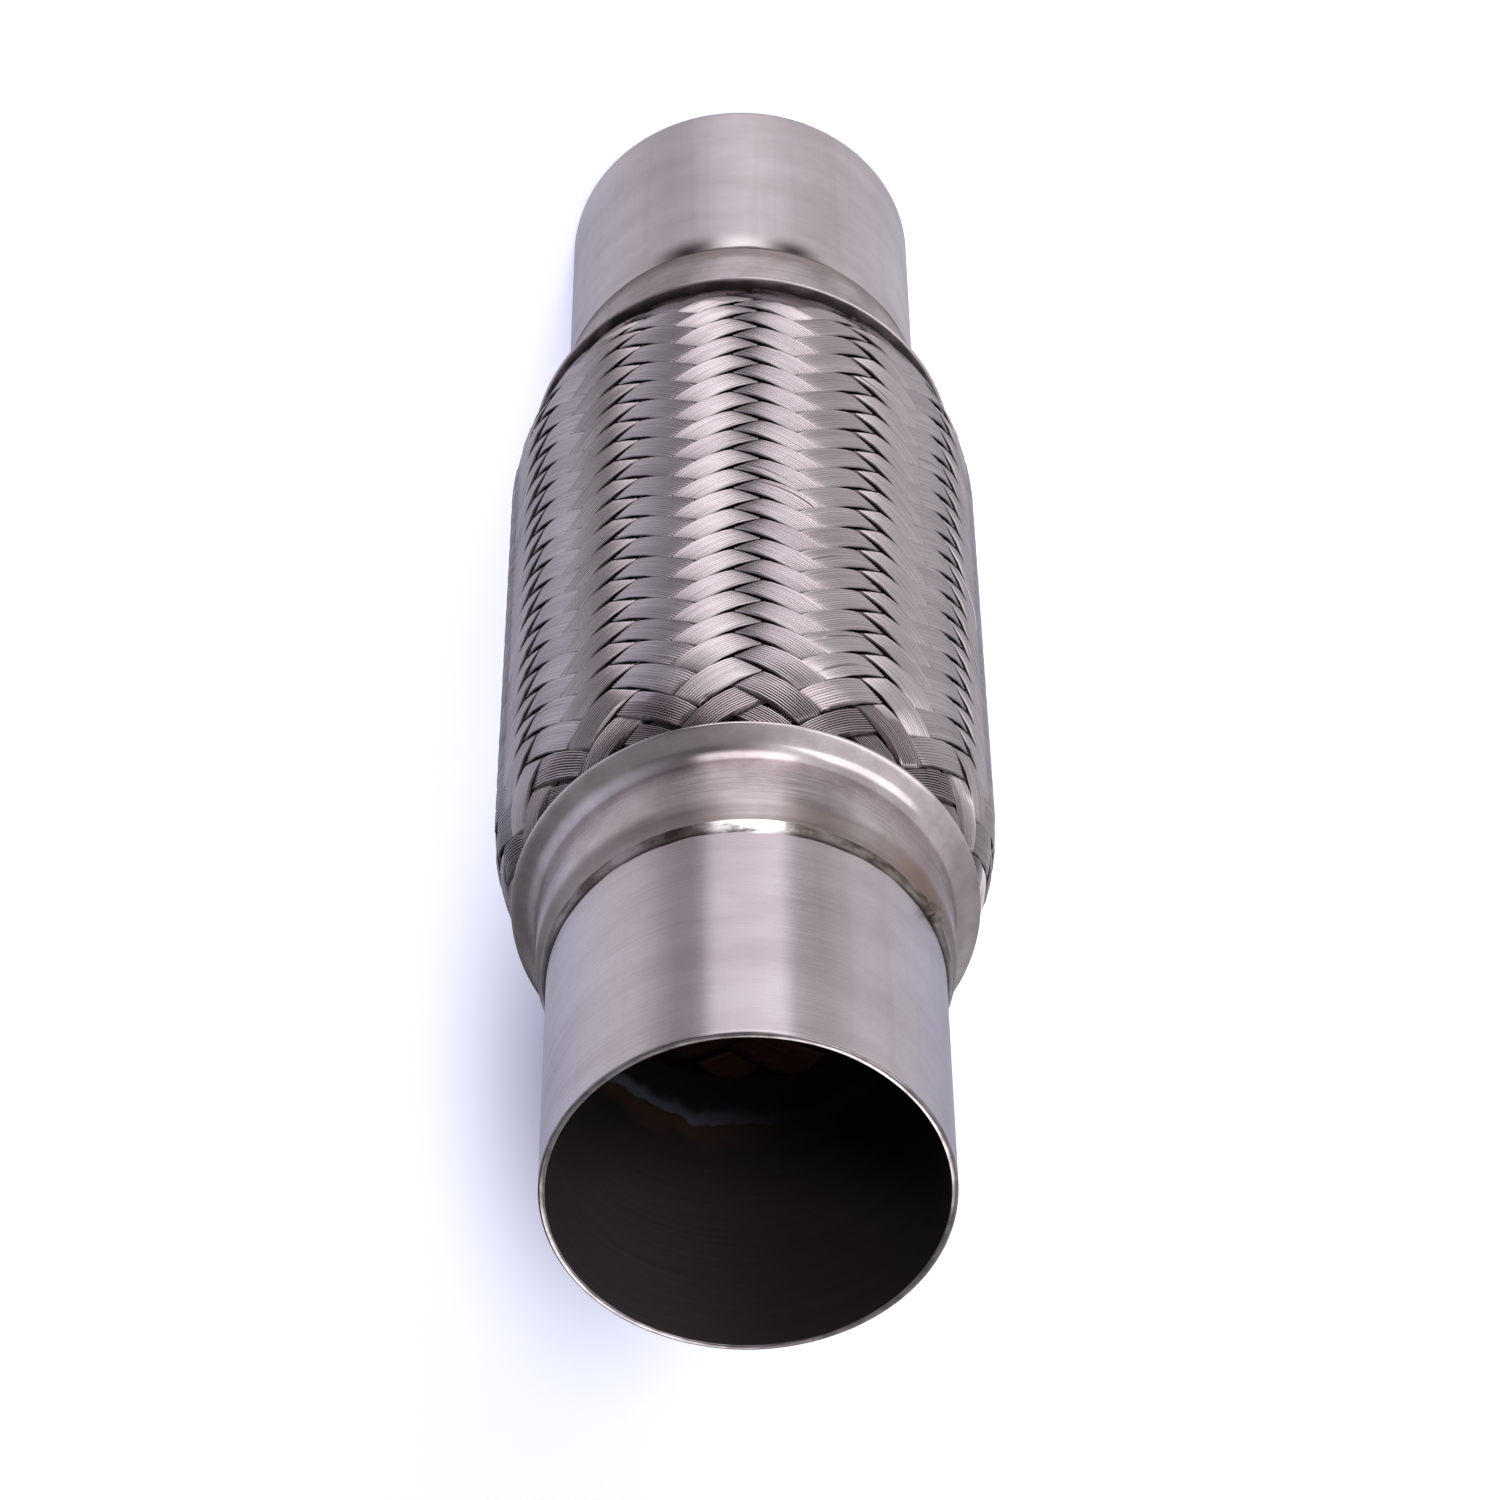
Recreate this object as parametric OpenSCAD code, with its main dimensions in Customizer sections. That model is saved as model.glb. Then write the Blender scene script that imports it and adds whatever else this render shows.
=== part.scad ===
// Exhaust flex pipe, standing on its lower mouth with +Z along the pipe.
// Two plain tubes are welded into pressed end caps. Between them the caps hold the ends of
// a corrugated bellows, of the wire braid around it and of the braided liner inside it.

/* [Tubes] */
// Length of the whole pipe from mouth to mouth
overall_length = 254; // [210:1:400]
// Inside diameter of both tubes, which slip over the pipes of the exhaust
tube_bore = 57.2; // [45:0.1:76]
// Wall of both tubes
tube_wall = 1; // [0.8:0.1:2]
// Bare tube from the mouth to the welded end of the cap's neck
stub_length = 47.5; // [30:0.5:60]
// How far each tube reaches on inside its cap
tube_overlap = 12.5; // [8:0.5:13]

/* [Caps] */
// Sheet that both caps are pressed from
cap_sheet = 0.75; // [0.6:0.05:1.5]
// Length of the neck from its welded end to the bend of the lip
neck_length = 13.4; // [13:0.1:25]
// Length at the neck's end that is swaged down to the tube
swage_length = 4; // [2.5:0.5:6]
// Straight part of that end, which lies on the tube
swage_land = 1; // [0.5:0.1:2]
// How far the flared lip stands out from the neck
lip_width = 4.05; // [3.5:0.05:6]
// Bend radius between neck and lip, at the middle of the sheet
lip_bend = 3.2; // [1.5:0.1:4]
// Angle by which the lip leans towards the braid
lip_lean = 22; // [10:1:35]

/* [Welds] */
// Length of each bead along the tube
bead_length = 2.2; // [1.5:0.1:5]
// How far the bead's crown stands above the edge of the neck
bead_crown = 0.25; // [0:0.05:0.6]

/* [Bellows] */
// Sheet that the bellows is formed from
bellows_sheet = 0.3; // [0.2:0.05:0.6]
// Number of corrugations
corrugations = 16; // [8:1:18]
// Gap from the first corrugation to the plane of the cap's lip
bellows_inset = 3; // [2:0.1:8]
// Clearance between the crests and the braid
crest_clearance = 0.3; // [0.2:0.05:1]

/* [Outer braid] */
// How far the braid lies against the flat of the lip before it stands off from it
lip_hold = 0.4; // [0.2:0.05:1.5]
// Plain edge of the braid beside the lip, before its first row
plain_edge = 1.6; // [1:0.1:3]
// Flat wire strands that run each way round
strands = 24; // [16:2:32]
// Rows of strands between the caps
braid_rows = 22; // [14:1:28]
// How far the braid swells out from the cap's neck
belly_rise = 7.15; // [6:0.05:12]
// Length of the shoulder at each end, from the lip to the full belly
shoulder_length = 18.6; // [12:0.1:30]
// Thickness of the braid over the bellows
braid_wall = 1.5; // [1.3:0.1:2]
// Thickness of the braid's ends, which the necks press flat
braid_end_wall = 0.4; // [0.3:0.05:0.8]
// Depth of the grooves between strands
groove_depth = 0.9; // [0.3:0.05:1.1]

/* [Liner] */
// Thickness of the braided liner
liner_wall = 0.55; // [0.4:0.05:0.9]
// Depth of the weave on the liner's inside
liner_relief = 0.22; // [0.1:0.01:0.3]
// Knots of the liner's weave around the pipe
liner_knots = 36; // [24:2:48]
// Wall of the rings that hold the liner's ends in the bellows
ring_wall = 0.3; // [0.2:0.05:0.8]
// Length of those rings
ring_length = 6; // [3:0.5:7]

/* [Fits] */
// Clearance between layers that lie in each other
seat = 0.05; // [0.02:0.01:0.1]

/* [Hidden] */
$fn = 96;
past = 1; // how far a cut runs past a face

// Radii of the layers in the neck, from the tube outwards
tube_r = tube_bore / 2 + tube_wall;
cuff_r = tube_r + seat + bellows_sheet;
braid_sides = 2 * strands;
braid_end_in_r = (cuff_r + seat) / cos(180 / braid_sides);
braid_end_r = braid_end_in_r + braid_end_wall;
neck_r = braid_end_r + seat + cap_sheet;
lip_r = neck_r + lip_width;
belly_r = neck_r + belly_rise;

// Heights at the lower end, from the mouth upwards
tube_end = stub_length + tube_overlap;
sleeve_start = stub_length + swage_length;
bend_z = stub_length + neck_length;
bend_turn = 90 - lip_lean;
bend_centre = [neck_r - cap_sheet / 2 + lip_bend, bend_z];

// A point of the bend between neck and lip, at a radius and an angle about its centre
function bend_point(radius, angle) = bend_centre + radius * [-cos(angle), sin(angle)];

// The middle of the cap's sheet, as [radius, height] from the welded end to the lip's edge
lip_start = bend_point(lip_bend, bend_turn);
lip_end_r = lip_r - cap_sheet / 2;
lip_end = [lip_end_r, lip_start[1] + (lip_end_r - lip_start[0]) * tan(lip_lean)];
swage_from = tube_r + seat + cap_sheet / 2;
swage_to = neck_r - cap_sheet / 2;
cap_path = concat(
    [[swage_from, stub_length]],
    [for (t = [0:0.25:1])
        [swage_from + (swage_to - swage_from) * (1 - cos(180 * t)) / 2,
         stub_length + swage_land + (swage_length - swage_land) * t]],
    [for (i = [0:6]) bend_point(lip_bend, bend_turn * i / 6)],
    [lip_end]
);

// Outer face of the braid as [height, radius], from the neck under the lip to the belly
lip_face = lip_bend + cap_sheet / 2 + seat;
flare_end = bend_point(lip_face, bend_turn);
leave_r = flare_end[0] + lip_hold;
leave_z = flare_end[1] + (leave_r - flare_end[0]) * tan(lip_lean);
belly_z = lip_end[1] + shoulder_length;
shoulder_steps = 6;
shoulder_fullness = 1.8; // 1 is a straight cone, more is a rounder shoulder
braid_face = concat(
    [[sleeve_start, braid_end_r]],
    [for (i = [0:4]) let (p = bend_point(lip_face, bend_turn * i / 4)) [p[1], p[0]]],
    [for (i = [0:shoulder_steps]) let (t = i / shoulder_steps)
        [leave_z + (belly_z - leave_z) * t,
         leave_r + (belly_r - leave_r) * (1 - pow(1 - t, shoulder_fullness))]]
);

// Inner face of the braid, likewise: the wall thickens around the bend of the lip
braid_back = concat(
    [[sleeve_start, braid_end_in_r]],
    [for (t = [0.5, 1]) let (
        wall = braid_end_wall + (braid_wall - braid_end_wall) * t,
        p = bend_point(lip_face + wall, bend_turn * t)
    )
        [p[1], max(p[0], braid_end_in_r)]],
    [for (i = [1, 3, 6]) let (p = braid_face[len(braid_face) - 1 - shoulder_steps + i])
        [p[0], p[1] - braid_wall]]
);

// The braid's faces at any height: the pipe's upper half mirrors its lower half
function lower_half(z) = min(z, overall_length - z);
function braid_face_r(z) = lookup(lower_half(z), braid_face);
function braid_back_r(z) = lookup(lower_half(z), braid_back);

// Sheet metal: the outline of a sheet that lies along a path, with a round edge at its end
function heading(path, i) =
    let (d = path[min(i + 1, len(path) - 1)] - path[max(i - 1, 0)]) d / norm(d);
function left_of(d) = [-d[1], d[0]];
function beside(path, by) =
    [for (i = [0:len(path) - 1]) path[i] + by * left_of(heading(path, i))];
function reversed(list) = [for (i = [len(list) - 1:-1:0]) list[i]];
function round_edge(path, sheet) =
    let (n = len(path) - 1, d = heading(path, n))
    [for (a = [60:-30:-60]) path[n] + sheet / 2 * (d * cos(a) + left_of(d) * sin(a))];
module sheet_ring(path, sheet, edge = []) {
    outline = concat(beside(path, sheet / 2), edge, reversed(beside(path, -sheet / 2)));
    rotate_extrude() polygon(outline);
}

// A closed wall made of rings of corners: the outer face upwards, then the inner face down
function wall_faces(rings, sides) = [
    for (i = [0:rings - 1]) for (j = [0:sides - 1])
        let (
            up = (i + 1) % rings * sides,
            next = (j + 1) % sides,
            a = i * sides + j,
            b = i * sides + next,
            c = up + next,
            d = up + j
        )
        each [[a, d, c], [a, c, b]]
];
module woven_wall(rings) {
    polyhedron(
        points = [for (ring = rings) each ring],
        faces = wall_faces(len(rings), len(rings[0]))
    );
}
function corner(r, angle, z) = [r * cos(angle), r * sin(angle), z];
function plain_ring(r, z, sides) = [for (j = [0:sides - 1]) corner(r, 360 / sides * j, z)];

// The same piece at the other end of the pipe
module at_upper_end() {
    translate([0, 0, overall_length]) mirror([0, 0, 1]) children();
}

module tube() {
    color("#bdb7b5")
    difference() {
        cylinder(r = tube_r, h = tube_end);
        translate([0, 0, -past]) cylinder(d = tube_bore, h = tube_end + 2 * past);
    }
}

module cap() {
    color("#aaa4a2") sheet_ring(cap_path, cap_sheet, round_edge(cap_path, cap_sheet));
}

// A convex bead in the corner between the tube and the edge of the neck
module weld() {
    bead_height = seat + cap_sheet + bead_crown;
    bead = [for (a = [0:15:90])
        [tube_r + bead_height * sin(a), stub_length - bead_length * cos(a)]];
    color("#8d847f") rotate_extrude() polygon(concat(bead, [[tube_r, stub_length]]));
}

// Straight cuffs inside the necks, and between them corrugations with steep flanks
bellows_r = cuff_r - bellows_sheet / 2;
bellows_from = lip_end[1] + bellows_inset;
bellows_pitch = (overall_length - 2 * bellows_from) / corrugations;
wave_steps = 12;
flank_steepness = 0.75;
crest_side = 0.3; // place in a corrugation where its crest first meets the braid's shoulder
function crest_r(z) = braid_back_r(z) * cos(180 / braid_sides) - crest_clearance - bellows_sheet / 2;
function wave_point(i, t) =
    let (
        start = bellows_from + bellows_pitch * i,
        crest = crest_r(start + bellows_pitch * (i < corrugations / 2 ? crest_side : 1 - crest_side))
    )
    [bellows_r + (crest - bellows_r) * (1 - cos(360 * t)) / 2,
     start + bellows_pitch * (t + flank_steepness * sin(720 * t) / (4 * PI))];
bellows_path = concat(
    [[bellows_r, sleeve_start]],
    [for (i = [0:corrugations - 1]) for (k = [0:wave_steps - 1]) wave_point(i, k / wave_steps)],
    [wave_point(corrugations - 1, 1), [bellows_r, overall_length - sleeve_start]]
);
module bellows() {
    color("#9a9694") sheet_ring(bellows_path, bellows_sheet);
}

// Outer braid: each strand passes over two and under two, which leaves columns of slanted
// floats that lean left and right by turns. A ring of corners follows the slant up and down,
// and every third ring is a groove between two strands of its column.
braid_from = leave_z + plain_edge;
row_pitch = (overall_length - 2 * braid_from) / braid_rows;
braid_rings = 3 * braid_rows;
// Places of a groove and of a strand's two shoulders in a row, in columns of either slant
right_places = [0, 0.22, 0.78];
left_places = [0.28, 0.5, 0.72];
dip_share = 0.6; // depth where a strand dives under the next column, as a share of a groove
function fade(m) = min(1, min(m, braid_rings - m) / 4);
function braid_corner(m, j) =
    let (
        middle = j % 2 == 1,
        right = floor(j / 2) % 2 == 0,
        role = m % 3,
        place = middle
            ? (right ? right_places[role] : left_places[role])
            : (right_places[role] + left_places[role]) / 2,
        slant = middle ? 0 : (right ? -0.5 : 0.5),
        groove = right ? role == 0 : role == 1,
        depth = groove_depth * (middle ? (groove ? 1 : 0) : dip_share),
        row = floor(m / 3) + role / 3 + (place - role / 3 + slant) * fade(m),
        z = braid_from + row_pitch * row
    )
    corner(braid_face_r(z) - depth * fade(m), 360 / braid_sides * j, z);
module outer_braid() {
    plain_heights = [for (i = [0:len(braid_face) - shoulder_steps - 1]) braid_face[i][0]];
    lower_face = [for (z = plain_heights) plain_ring(braid_face_r(z), z, braid_sides)];
    upper_face = [for (z = reversed(plain_heights))
        plain_ring(braid_face_r(z), overall_length - z, braid_sides)];
    weave = [for (m = [0:braid_rings]) [for (j = [0:braid_sides - 1]) braid_corner(m, j)]];
    back = concat(
        [for (p = braid_back) plain_ring(p[1], overall_length - p[0], braid_sides)],
        [for (p = reversed(braid_back)) plain_ring(p[1], p[0], braid_sides)]
    );
    color("#b0a9a7") woven_wall(concat(lower_face, weave, upper_face, back));
}

// Liner: a thin braided sleeve between the tubes, with a raised weave on its inside
liner_r = tube_r - ring_wall - seat;
liner_from = tube_end + seat;
liner_length = overall_length - 2 * liner_from;
knot_length = 0.7 * PI * tube_bore / liner_knots; // along the pipe, flatter than a square
liner_rows = 2 * round(liner_length / knot_length / 2);
module inner_braid() {
    outer = [
        plain_ring(liner_r, liner_from, liner_knots),
        plain_ring(liner_r, liner_from + liner_length, liner_knots)
    ];
    weave = [for (i = [liner_rows:-1:0]) [for (j = [0:liner_knots - 1])
        corner(
            liner_r - liner_wall + (i + j) % 2 * liner_relief,
            360 / liner_knots * j,
            liner_from + liner_length * i / liner_rows
        )]];
    color("#6d5a4c") woven_wall(concat(outer, weave));
}

// Rings at the inner ends of the tubes, between the liner and the cuffs of the bellows
module liner_ring() {
    color("#857d79")
    translate([0, 0, tube_end])
    difference() {
        cylinder(r = tube_r, h = ring_length);
        translate([0, 0, -past]) cylinder(r = tube_r - ring_wall, h = ring_length + 2 * past);
    }
}

tube();  // lower_tube
at_upper_end() tube();  // upper_tube
cap();  // lower_cap
at_upper_end() cap();  // upper_cap
weld();  // lower_weld
at_upper_end() weld();  // upper_weld
bellows();
outer_braid();
inner_braid();
liner_ring();  // lower_liner_ring
at_upper_end() liner_ring();  // upper_liner_ring
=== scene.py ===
# %% [markdown]
# # Dressing an exhaust flex pipe
# A flex pipe joins two stiff parts of an exhaust line. It has a plain tube at each end, a pressed
# cap welded to each tube, and between the caps a bellows in a sleeve of braided wire. The packed
# CAD model gives the frame. This lesson builds the visible pieces at the same sizes, with the
# detail that the camera sees: single wires, welds, brushed and browned steel.

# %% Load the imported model
import math

import bpy
import numpy as np
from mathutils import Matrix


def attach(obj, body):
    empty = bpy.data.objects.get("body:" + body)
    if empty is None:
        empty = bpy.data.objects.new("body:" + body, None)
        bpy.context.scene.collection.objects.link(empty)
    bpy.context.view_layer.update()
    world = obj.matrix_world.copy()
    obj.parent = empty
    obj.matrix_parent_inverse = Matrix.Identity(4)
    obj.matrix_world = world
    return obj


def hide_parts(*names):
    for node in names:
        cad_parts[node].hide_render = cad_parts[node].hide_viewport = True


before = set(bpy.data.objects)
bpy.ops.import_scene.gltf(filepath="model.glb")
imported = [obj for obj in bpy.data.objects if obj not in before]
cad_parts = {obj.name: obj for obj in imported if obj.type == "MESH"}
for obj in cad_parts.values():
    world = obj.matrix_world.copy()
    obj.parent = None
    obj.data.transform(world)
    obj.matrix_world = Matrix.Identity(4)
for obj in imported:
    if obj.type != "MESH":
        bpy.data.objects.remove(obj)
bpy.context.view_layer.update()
print("nodes:", sorted(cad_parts))

# %% [markdown]
# ## Sizes
# Every size is in millimetres and repeats the CAD model, so a piece that stands in for a solid
# lies where the solid is. The pipe's upper half mirrors its lower half, so each piece is drawn
# for the lower end and turned over for the upper one.

# %% Sizes in millimetres
LENGTH = 254.0
MIDDLE = LENGTH / 2
TUBE_R = 29.6
BORE_R = 28.6
TUBE_END = 60.0
LAND_R = 30.025
WELD_Z = 47.5
WELD_RUN = 2.2
WELD_RISE = 0.9
NECK_Z = 51.5
BEND_Z = 60.9
LIP_LEAN = math.radians(22)
LIP_TURN = math.radians(68)
SHEET = 0.75
LIP_BEND = 3.2
LIP_END_R = 34.939
NECK_R = 30.889
BELLY_R = 38.414
BELLY_Z = 83.295
SHOULDER = 1.8
LEAVE_R = 33.131
LEAVE_Z = 64.423
CUFF_R = 30.05
STRANDS = 24
ROW_PITCH = 5.543
SIDES = 256
MM = 0.001
rng = np.random.RandomState(11)
print("pipe:", LENGTH, "mm long,", 2 * BELLY_R, "mm across the belly")

# %% [markdown]
# ## Camera
# The photograph looks down on one mouth of the pipe. The camera's place and its three axes were
# fitted to the edges of both tubes, so they are written as numbers here. Blender takes the matrix
# column by column.

# %% Camera
camera_data = bpy.data.cameras.new("camera")
camera_data.lens = 128.44
camera_data.sensor_width = 36.0
camera = bpy.data.objects.new("camera", camera_data)
bpy.context.scene.collection.objects.link(camera)
right = (-0.99990878, -0.0121128, 0.00597554)
up = (0.00619951, -0.80465819, -0.59370595)
back = (0.01199971, -0.59361475, 0.80465989)
place = (0.00917, -0.49699, 0.82213)
camera.matrix_world = [(*right, 0), (*up, 0), (*back, 0), (*place, 1)]
bpy.context.scene.camera = camera
print("camera at", tuple(round(c, 3) for c in camera.matrix_world.translation))

# %% [markdown]
# ## Helpers for materials
# Colours are written as sRGB hex values, as a colour picker shows them, and shaders want linear
# light. One function turns the first into the second, and one adds a node to a tree. Patterns are
# sized in millimetres.


# %% Colour and node helpers
def linear(hex_colour):
    steps = [int(hex_colour[k:k + 2], 16) / 255 for k in (1, 3, 5)]
    light = [c / 12.92 if c <= 0.04045 else ((c + 0.055) / 1.055) ** 2.4 for c in steps]
    return (*light, 1.0)


def add(tree, kind, values=None, wires=None, **settings):
    made = tree.nodes.new("ShaderNode" + kind)
    for name, value in settings.items():
        setattr(made, name, value)
    for name, value in (values or {}).items():
        made.inputs[name].default_value = value
    for name, socket in (wires or {}).items():
        tree.links.new(socket, made.inputs[name])
    return made


def per_mm(across, around, along):
    return (1 / (across * MM), 1 / (around * MM), 1 / (along * MM))


def new_material(name):
    made = bpy.data.materials.new(name)
    made.use_nodes = True
    made.node_tree.nodes.clear()
    return made, made.node_tree


print("mid grey is", round(linear("#808080")[0], 3), "in linear light")

# %% [markdown]
# ## Masks
# Heat, soot and sanding follow the welds, so three masks say where a point lies: how deep it is
# from the nearer mouth, whether that depth is in a band, and how near it is to one point.


# %% Masks
def depth_from_mouth(tree, place_at):
    axes = add(tree, "SeparateXYZ", None, {"Vector": place_at})
    from_middle = add(tree, "Math", {1: MIDDLE * MM}, {0: axes.outputs["Z"]}, operation="SUBTRACT")
    apart = add(tree, "Math", None, {0: from_middle.outputs[0]}, operation="ABSOLUTE")
    return add(tree, "Math", {0: MIDDLE * MM}, {1: apart.outputs[0]}, operation="SUBTRACT").outputs[0]


def band(tree, value, rise_from, rise_to, fall_from, fall_to):
    rise = add(tree, "MapRange", {"From Min": rise_from * MM, "From Max": rise_to * MM},
               {"Value": value}, interpolation_type="SMOOTHSTEP")
    fall = add(tree, "MapRange", {"From Min": fall_to * MM, "From Max": fall_from * MM},
               {"Value": value}, interpolation_type="SMOOTHSTEP")
    return add(tree, "Math", None, {0: rise.outputs["Result"], 1: fall.outputs["Result"]},
               operation="MULTIPLY").outputs[0]


def near_point(tree, place_at, point, reach):
    gap = add(tree, "VectorMath", {1: [c * MM for c in point]}, {0: place_at}, operation="DISTANCE")
    return add(tree, "MapRange", {"From Min": reach * MM, "From Max": 0.0},
               {"Value": gap.outputs["Value"]}, interpolation_type="SMOOTHSTEP").outputs["Result"]


print("depths are measured from each mouth to the middle, at", MIDDLE, "mm")

# %% [markdown]
# ## Brushed stainless tube
# The stubs are cut from welded 304 tube that was belt-brushed around its length. The brushing
# leaves fine rings, so a light is drawn out along the pipe and stays narrow across it: that is
# anisotropic gloss. The rings are really about 0.1 mm apart; they are drawn at 0.3 mm to show.
# Wiping the tube clean leaves faint streaks along it. The lower stub was brushed duller, and at its
# weld the heat left two dark smears, with a painted highlight on bare metal between them.

# %% Brushed stainless tube
WELD_SMEARS_AND_HIGHLIGHT = [
    ((9.5, -28.0, 45.0), "#4d4344", 8.5),
    ((-8.5, -28.4, 45.0), "#5a4f50", 6.5),
    # A painted highlight on the bare metal in front.
    ((0.5, -29.6, 44.0), "#fffafb", 6.5),
]


def brushed_tube(name, dark, bright, low, high, drawn_out):
    made, tree = new_material(name)
    place_at = add(tree, "TexCoord").outputs["Object"]
    rings_at = add(tree, "Mapping", {"Scale": per_mm(30, 30, 0.32)}, {"Vector": place_at})
    rings = add(tree, "TexNoise", {"Scale": 1.0, "Detail": 3.0, "Roughness": 0.65},
                {"Vector": rings_at.outputs["Vector"]})
    wiped_at = add(tree, "Mapping", {"Scale": per_mm(2.6, 2.6, 60)}, {"Vector": place_at})
    wiped = add(tree, "TexNoise", {"Scale": 1.0, "Detail": 4.0, "Roughness": 0.6},
                {"Vector": wiped_at.outputs["Vector"]})
    cloud_at = add(tree, "Mapping", {"Scale": per_mm(20, 20, 9)}, {"Vector": place_at})
    cloud = add(tree, "TexNoise", {"Scale": 1.0, "Detail": 5.0, "Roughness": 0.6},
                {"Vector": cloud_at.outputs["Vector"]})
    colour = add(tree, "ValToRGB", None, {"Fac": cloud.outputs["Fac"]})
    colour.color_ramp.elements[0].position = 0.3
    colour.color_ramp.elements[0].color = linear(dark)
    colour.color_ramp.elements[1].position = 0.65
    colour.color_ramp.elements[1].color = linear(bright)
    ring_tone = add(tree, "MapRange", {"From Min": 0.34, "From Max": 0.62, "To Min": 0.97},
                    {"Value": rings.outputs["Fac"]})
    wipe_tone = add(tree, "MapRange", {"From Min": 0.3, "From Max": 0.5, "To Min": 0.95},
                    {"Value": wiped.outputs["Fac"]})
    marks = add(tree, "Math", None, {0: ring_tone.outputs["Result"], 1: wipe_tone.outputs["Result"]},
                operation="MULTIPLY")
    tone = add(tree, "Mix", {0: 1.0}, {6: colour.outputs["Color"], 7: marks.outputs[0]},
               data_type="RGBA", blend_type="MULTIPLY")
    at_weld = band(tree, depth_from_mouth(tree, place_at), 39, 45, 58, 60)
    for spot, tint, reach in WELD_SMEARS_AND_HIGHLIGHT:
        here = add(tree, "Math", None, {0: at_weld, 1: near_point(tree, place_at, spot, reach)},
                   operation="MULTIPLY")
        tone = add(tree, "Mix", {7: linear(tint)}, {0: here.outputs[0], 6: tone.outputs[2]},
                   data_type="RGBA")
    gloss = add(tree, "MapRange", {"From Min": 0.3, "From Max": 0.7, "To Min": low, "To Max": high},
                {"Value": rings.outputs["Fac"]})
    relief = add(tree, "Bump", {"Strength": 0.1, "Distance": 0.00002},
                 {"Height": rings.outputs["Fac"]})
    around = add(tree, "Tangent", direction_type="RADIAL", axis="Z")
    steel = add(tree, "BsdfPrincipled",
                {"Metallic": 1.0, "Anisotropic": drawn_out, "Anisotropic Rotation": 0.25},
                {"Base Color": tone.outputs[2], "Roughness": gloss.outputs["Result"],
                 "Normal": relief.outputs["Normal"], "Tangent": around.outputs["Tangent"]})
    add(tree, "OutputMaterial", None, {"Surface": steel.outputs["BSDF"]})
    return made


TUBE_STEEL = brushed_tube("stainless_tube_brushed", "#beb3b9", "#d0c7cd", 0.24, 0.33, 0.85)
DULL_TUBE = brushed_tube("stainless_tube_dull", "#cac0c5", "#dcd3d8", 0.46, 0.58, 0.3)
print("materials", TUBE_STEEL.name, DULL_TUBE.name)

# %% [markdown]
# ## Browned bore
# Welding heats the tube, and its inside, which nobody brushes, turns a dull brown-black. That
# film scatters light, so part of it is matt. Behind the weld, 47.5 mm in, the heat left a band
# of pale blue-grey scale with a brown halo on the mouth's side. Painted shade darkens the bore
# towards its -X side.


# %% Browned bore
def browned_bore():
    made, tree = new_material("stainless_bore_browned")
    place_at = add(tree, "TexCoord").outputs["Object"]
    depth = depth_from_mouth(tree, place_at)
    cloud_at = add(tree, "Mapping", {"Scale": per_mm(9, 9, 16)}, {"Vector": place_at})
    cloud = add(tree, "TexNoise", {"Scale": 1.0, "Detail": 5.0}, {"Vector": cloud_at.outputs["Vector"]})
    rings_at = add(tree, "Mapping", {"Scale": per_mm(30, 30, 0.8)}, {"Vector": place_at})
    rings = add(tree, "TexNoise", {"Scale": 1.0, "Detail": 3.0}, {"Vector": rings_at.outputs["Vector"]})
    ragged = add(tree, "Math", {1: 0.012, 2: -0.006}, {0: cloud.outputs["Fac"]}, operation="MULTIPLY_ADD")
    edge_at = add(tree, "Math", None, {0: depth, 1: ragged.outputs[0]}, operation="ADD").outputs[0]
    colour = add(tree, "ValToRGB", None, {"Fac": rings.outputs["Fac"]})
    colour.color_ramp.elements[0].position = 0.35
    colour.color_ramp.elements[0].color = linear("#3b3436")
    colour.color_ramp.elements[1].position = 0.7
    colour.color_ramp.elements[1].color = linear("#423b3d")
    axes = add(tree, "SeparateXYZ", None, {"Vector": place_at})
    one_side = add(tree, "MapRange", {"From Min": -0.006, "From Max": 0.02, "To Min": 0.1},
                   {"Value": axes.outputs["X"]}, interpolation_type="SMOOTHSTEP")
    # Painted shade: the bore grows darker towards its -X side.
    shaded_side = add(tree, "MapRange", {"From Min": -0.01, "From Max": 0.024, "To Min": 0.55},
                {"Value": axes.outputs["X"]}, interpolation_type="SMOOTHSTEP")
    film = add(tree, "Mix", {0: 1.0}, {6: colour.outputs["Color"], 7: shaded_side.outputs["Result"]},
               data_type="RGBA", blend_type="MULTIPLY")
    halo = band(tree, edge_at, 42.5, 47, 47.5, 49.5)
    brown = add(tree, "Math", None, {0: halo, 1: one_side.outputs["Result"]}, operation="MULTIPLY")
    warm = add(tree, "Mix", {7: linear("#64483a")}, {0: brown.outputs[0], 6: film.outputs[2]},
               data_type="RGBA")
    scale = band(tree, edge_at, 48.2, 49.0, 50.0, 53.5)
    hottest = add(tree, "Math", None, {0: scale, 1: one_side.outputs["Result"]}, operation="MULTIPLY")
    pale = add(tree, "Mix", {7: linear("#8a92a8")}, {0: hottest.outputs[0], 6: warm.outputs[2]},
               data_type="RGBA")
    steel = add(tree, "BsdfPrincipled", {"Metallic": 0.45, "Roughness": 0.42},
                {"Base Color": pale.outputs[2]})
    add(tree, "OutputMaterial", None, {"Surface": steel.outputs["BSDF"]})
    return made


BORE_BROWN = browned_bore()
print("material", BORE_BROWN.name)

# %% [markdown]
# ## Filed rim
# The cut end was deburred with a file, which was drawn around it. That leaves a smooth grey edge
# that glints where it faces a light, with faint marks 2 or 3 mm long.


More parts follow.
